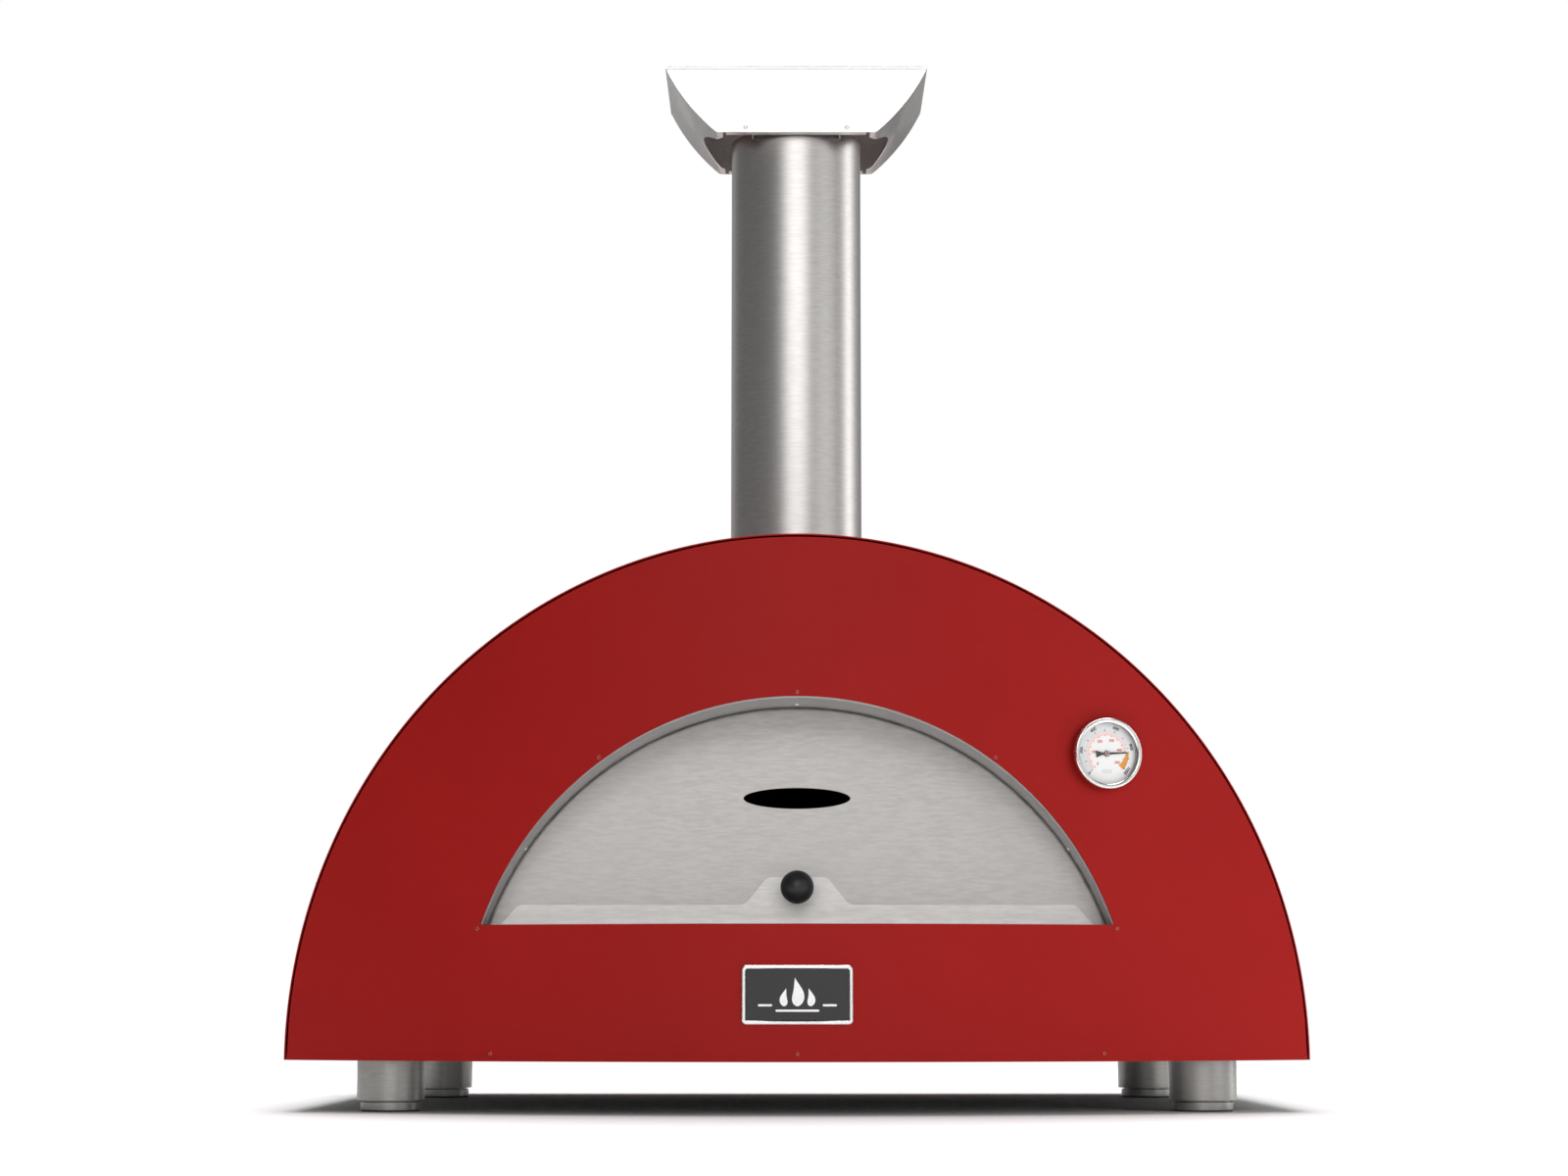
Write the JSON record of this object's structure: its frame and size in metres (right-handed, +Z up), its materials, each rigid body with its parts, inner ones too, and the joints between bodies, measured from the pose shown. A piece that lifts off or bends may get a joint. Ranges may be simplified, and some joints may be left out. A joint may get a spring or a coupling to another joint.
{
  "type": "wood-fired pizza oven",
  "caption": "Insulated steel vault oven on short legs, with a bowed front, lift-out arched door, dial thermometer and a straight flue under a boat-shaped cowl.",
  "frame": {"origin": "on the floor, at the centre of the object's box", "axes": "+Z up, +X to the right of a person facing the mouth, the mouth towards -Y"},
  "size_m": [1.12, 0.837, 1.18],
  "materials": {
    "red_paint": "satin",
    "brushed_steel": "satin",
    "plain_steel": "satin",
    "dark_steel": "matte",
    "ceramic_fibre": "matte",
    "firebrick": "matte",
    "black_plastic": "satin",
    "white_enamel": "satin",
    "black_enamel": "satin",
    "clear_glass": "gloss"
  },
  "bodies": {
    "oven": {"front_panel": "red_paint", "outer_shell": "red_paint", "rear_panel": "red_paint", "base_tray": "dark_steel", "panel_screw_1": "red_paint", "panel_screw_2": "red_paint", "panel_screw_3": "red_paint", "leg_front_left": "brushed_steel", "leg_front_right": "brushed_steel", "leg_rear_left": "brushed_steel", "leg_rear_right": "brushed_steel", "foot_front_left": "brushed_steel", "foot_front_right": "brushed_steel", "foot_rear_left": "brushed_steel", "foot_rear_right": "brushed_steel", "chamber_dome": "plain_steel", "chamber_front": "plain_steel", "chamber_rear": "plain_steel", "hearth_tray": "dark_steel", "dome_blanket": "ceramic_fibre", "front_insulation": "ceramic_fibre", "rear_insulation": "ceramic_fibre", "floor_insulation": "ceramic_fibre", "floor_tile_1": "firebrick", "floor_tile_2": "firebrick", "floor_tile_3": "firebrick", "floor_tile_4": "firebrick", "mouth_sill": "brushed_steel", "mouth_reveal": "brushed_steel", "reveal_screw_1": "plain_steel", "reveal_screw_2": "plain_steel", "reveal_screw_3": "plain_steel", "flue_spigot": "plain_steel", "flue_pipe": "brushed_steel", "flue_collar": "brushed_steel", "cowl_front": "brushed_steel", "cowl_back": "brushed_steel", "cowl_lid": "brushed_steel", "cowl_side_left": "brushed_steel", "cowl_side_right": "brushed_steel", "cowl_bracket_left": "plain_steel", "cowl_bracket_right": "plain_steel", "cowl_screw_front_left": "plain_steel", "cowl_screw_front_right": "plain_steel", "cowl_screw_back_left": "plain_steel", "cowl_screw_back_right": "plain_steel", "gauge_case": "brushed_steel", "gauge_bezel": "brushed_steel", "gauge_dial": "white_enamel", "gauge_glass": "clear_glass", "gauge_stem": "plain_steel", "gauge_nut": "plain_steel", "nameplate_frame": "brushed_steel", "nameplate_field": "black_enamel"},
    "door": {"door_panel": "brushed_steel", "door_foot": "brushed_steel", "door_knob": "black_plastic", "knob_spacer": "plain_steel", "knob_bolt": "plain_steel"},
    "needle": {"gauge_needle": "black_enamel"}
  },
  "joints": [
    {"name": "door_slide", "type": "slide", "parent": "oven", "child": "door", "axis": [0, -1, 0], "range_m": [0, 0.42]},
    {"name": "needle_turn", "type": "hinge", "parent": "oven", "child": "needle", "pos_m": [0.3311, -0.36936, 0.383], "axis": [0.2734, -0.9619, 0], "range_deg": [-41.5, 223.5]}
  ]
}
